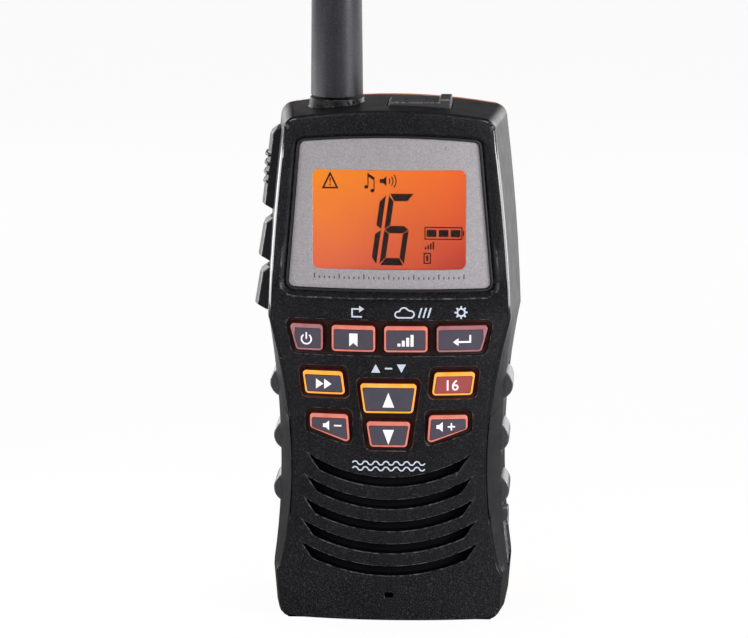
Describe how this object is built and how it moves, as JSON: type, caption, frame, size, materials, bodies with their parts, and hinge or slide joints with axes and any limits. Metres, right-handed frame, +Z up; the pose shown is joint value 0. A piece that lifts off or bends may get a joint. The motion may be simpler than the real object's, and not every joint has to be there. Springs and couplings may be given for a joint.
{
  "type": "vhf marine radio",
  "caption": "Handheld floating marine radio with a lit display, front keypad, slotted speaker, side talk key, rod antenna, belt clip and battery door.",
  "frame": {"origin": "centre of the flat base, at the middle of the case width and at the depth of the key and antenna axes' datum plane", "axes": "+Z up along the case and antenna, +X to the right seen from the front, front faces -Y"},
  "size_m": [0.0647, 0.0413, 0.2695],
  "materials": {
    "case_black": "fine texture",
    "case_orange": "fine texture",
    "seal_rubber": "smooth",
    "panel_silver": "fine metallic print",
    "window_clear": "clear",
    "display_amber": "backlit",
    "diffuser_white": "diffusing",
    "inner_plastic": "moulded",
    "board_green": "solder mask",
    "screw_steel": "stainless",
    "mat_silicone": "translucent",
    "shield_tin": "tinned",
    "foam": "closed cell",
    "cone_paper": "treated paper",
    "magnet_iron": "ferrite",
    "membrane": "waterproof cloth",
    "insert_gloss": "polished",
    "cover_rubber": "smooth",
    "antenna_rubber": "satin",
    "connector_brass": "turned",
    "cell_can": "printed can",
    "latch_black": "moulded",
    "clip_black": "moulded",
    "key_cap": "silicone",
    "key_red": "silicone",
    "side_key_rubber": "silicone"
  },
  "bodies": {
    "body": {"front_shell": "case_black", "rear_shell": "case_orange", "case_gasket": "seal_rubber", "lens_seal": "seal_rubber", "door_seal": "seal_rubber", "microphone_boot": "seal_rubber", "speaker_seal": "seal_rubber", "silver_panel": "panel_silver", "window_lens": "window_clear", "lcd_glass": "display_amber", "backlight_diffuser": "diffuser_white", "lcd_holder": "inner_plastic", "main_board": "board_green", "side_board": "board_green", "board_screws": "screw_steel", "case_screws": "screw_steel", "clip_screws": "screw_steel", "key_mat": "mat_silicone", "key_domes": "screw_steel", "shield_can": "shield_tin", "foam_float": "foam", "speaker_frame": "shield_tin", "speaker_cone": "cone_paper", "speaker_magnet": "magnet_iron", "speaker_membrane": "membrane", "microphone": "shield_tin", "side_switches": "inner_plastic", "grip_inserts": "insert_gloss", "speaker_jack": "inner_plastic", "microphone_jack": "inner_plastic", "charge_jack": "inner_plastic", "antenna_sheath": "antenna_rubber", "antenna_stud": "connector_brass", "antenna_bushing": "connector_brass", "antenna_radiator": "connector_brass", "battery_tray": "inner_plastic", "battery_cells": "cell_can", "battery_contacts": "shield_tin", "door_hinge_pin": "screw_steel", "clip_bracket": "clip_black", "clip_pin": "screw_steel", "clip_spring": "screw_steel"},
    "power_key_cap": {"power_key": "key_cap"},
    "memory_key_cap": {"memory_key": "key_cap"},
    "level_key_cap": {"level_key": "key_cap"},
    "enter_key_cap": {"enter_key": "key_cap"},
    "scan_key_cap": {"scan_key": "key_cap"},
    "priority_key_cap": {"priority_key": "key_red"},
    "channel_up_key_cap": {"channel_up_key": "key_cap"},
    "channel_down_key_cap": {"channel_down_key": "key_cap"},
    "volume_down_key_cap": {"volume_down_key": "key_cap"},
    "volume_up_key_cap": {"volume_up_key": "key_cap"},
    "talk_key_cap": {"talk_key": "side_key_rubber"},
    "upper_side_key_cap": {"upper_side_key": "side_key_rubber"},
    "lower_side_key_cap": {"lower_side_key": "side_key_rubber"},
    "jack_flap": {"jack_cover": "cover_rubber"},
    "charge_flap": {"charge_cover": "cover_rubber"},
    "door": {"battery_door": "case_orange"},
    "latch": {"door_latch": "latch_black"},
    "clip": {"belt_clip": "clip_black"}
  },
  "joints": [
    {"name": "power_key_press", "type": "slide", "parent": "body", "child": "power_key_cap", "axis": [0, 1, 0], "range_m": [0, 0.0008], "stiffness_N_per_m": 800, "springref_m": -0.0005},
    {"name": "memory_key_press", "type": "slide", "parent": "body", "child": "memory_key_cap", "axis": [0, 1, 0], "range_m": [0, 0.0008], "stiffness_N_per_m": 800, "springref_m": -0.0005},
    {"name": "level_key_press", "type": "slide", "parent": "body", "child": "level_key_cap", "axis": [0, 1, 0], "range_m": [0, 0.0008], "stiffness_N_per_m": 800, "springref_m": -0.0005},
    {"name": "enter_key_press", "type": "slide", "parent": "body", "child": "enter_key_cap", "axis": [0, 1, 0], "range_m": [0, 0.0008], "stiffness_N_per_m": 800, "springref_m": -0.0005},
    {"name": "scan_key_press", "type": "slide", "parent": "body", "child": "scan_key_cap", "axis": [0, 1, 0], "range_m": [0, 0.0008], "stiffness_N_per_m": 800, "springref_m": -0.0005},
    {"name": "priority_key_press", "type": "slide", "parent": "body", "child": "priority_key_cap", "axis": [0, 1, 0], "range_m": [0, 0.0008], "stiffness_N_per_m": 800, "springref_m": -0.0005},
    {"name": "channel_up_key_press", "type": "slide", "parent": "body", "child": "channel_up_key_cap", "axis": [0, 1, 0], "range_m": [0, 0.0008], "stiffness_N_per_m": 800, "springref_m": -0.0005},
    {"name": "channel_down_key_press", "type": "slide", "parent": "body", "child": "channel_down_key_cap", "axis": [0, 1, 0], "range_m": [0, 0.0008], "stiffness_N_per_m": 800, "springref_m": -0.0005},
    {"name": "volume_down_key_press", "type": "slide", "parent": "body", "child": "volume_down_key_cap", "axis": [0, 1, 0], "range_m": [0, 0.0008], "stiffness_N_per_m": 800, "springref_m": -0.0005},
    {"name": "volume_up_key_press", "type": "slide", "parent": "body", "child": "volume_up_key_cap", "axis": [0, 1, 0], "range_m": [0, 0.0008], "stiffness_N_per_m": 800, "springref_m": -0.0005},
    {"name": "talk_key_press", "type": "slide", "parent": "body", "child": "talk_key_cap", "axis": [1, 0, 0], "range_m": [0, 0.0009], "stiffness_N_per_m": 800, "springref_m": -0.0005},
    {"name": "upper_side_key_press", "type": "slide", "parent": "body", "child": "upper_side_key_cap", "axis": [1, 0, 0], "range_m": [0, 0.0009], "stiffness_N_per_m": 800, "springref_m": -0.0005},
    {"name": "lower_side_key_press", "type": "slide", "parent": "body", "child": "lower_side_key_cap", "axis": [1, 0, 0], "range_m": [0, 0.0009], "stiffness_N_per_m": 800, "springref_m": -0.0005},
    {"name": "jack_cover_hinge", "type": "hinge", "parent": "body", "child": "jack_flap", "pos_m": [0.0004, -0.00605, 0.1257], "axis": [0, -1, 0], "range_deg": [0, 105]},
    {"name": "charge_cover_hinge", "type": "hinge", "parent": "body", "child": "charge_flap", "pos_m": [0.02821, -0.004, 0.01215], "axis": [0, 1, 0], "range_deg": [0, 90]},
    {"name": "battery_door_hinge", "type": "hinge", "parent": "body", "child": "door", "pos_m": [0, 0.0179, 0.0103], "axis": [-1, 0, 0], "range_deg": [0, 90]},
    {"name": "door_latch_slide", "type": "slide", "parent": "door", "child": "latch", "axis": [0, 0, 1], "range_m": [0, 0.0016]},
    {"name": "belt_clip_hinge", "type": "hinge", "parent": "body", "child": "clip", "pos_m": [0, 0.0179, 0.108], "axis": [1, 0, 0], "range_deg": [0, 20], "stiffness_Nm_per_rad": 0.3, "springref_deg": -11.46}
  ]
}
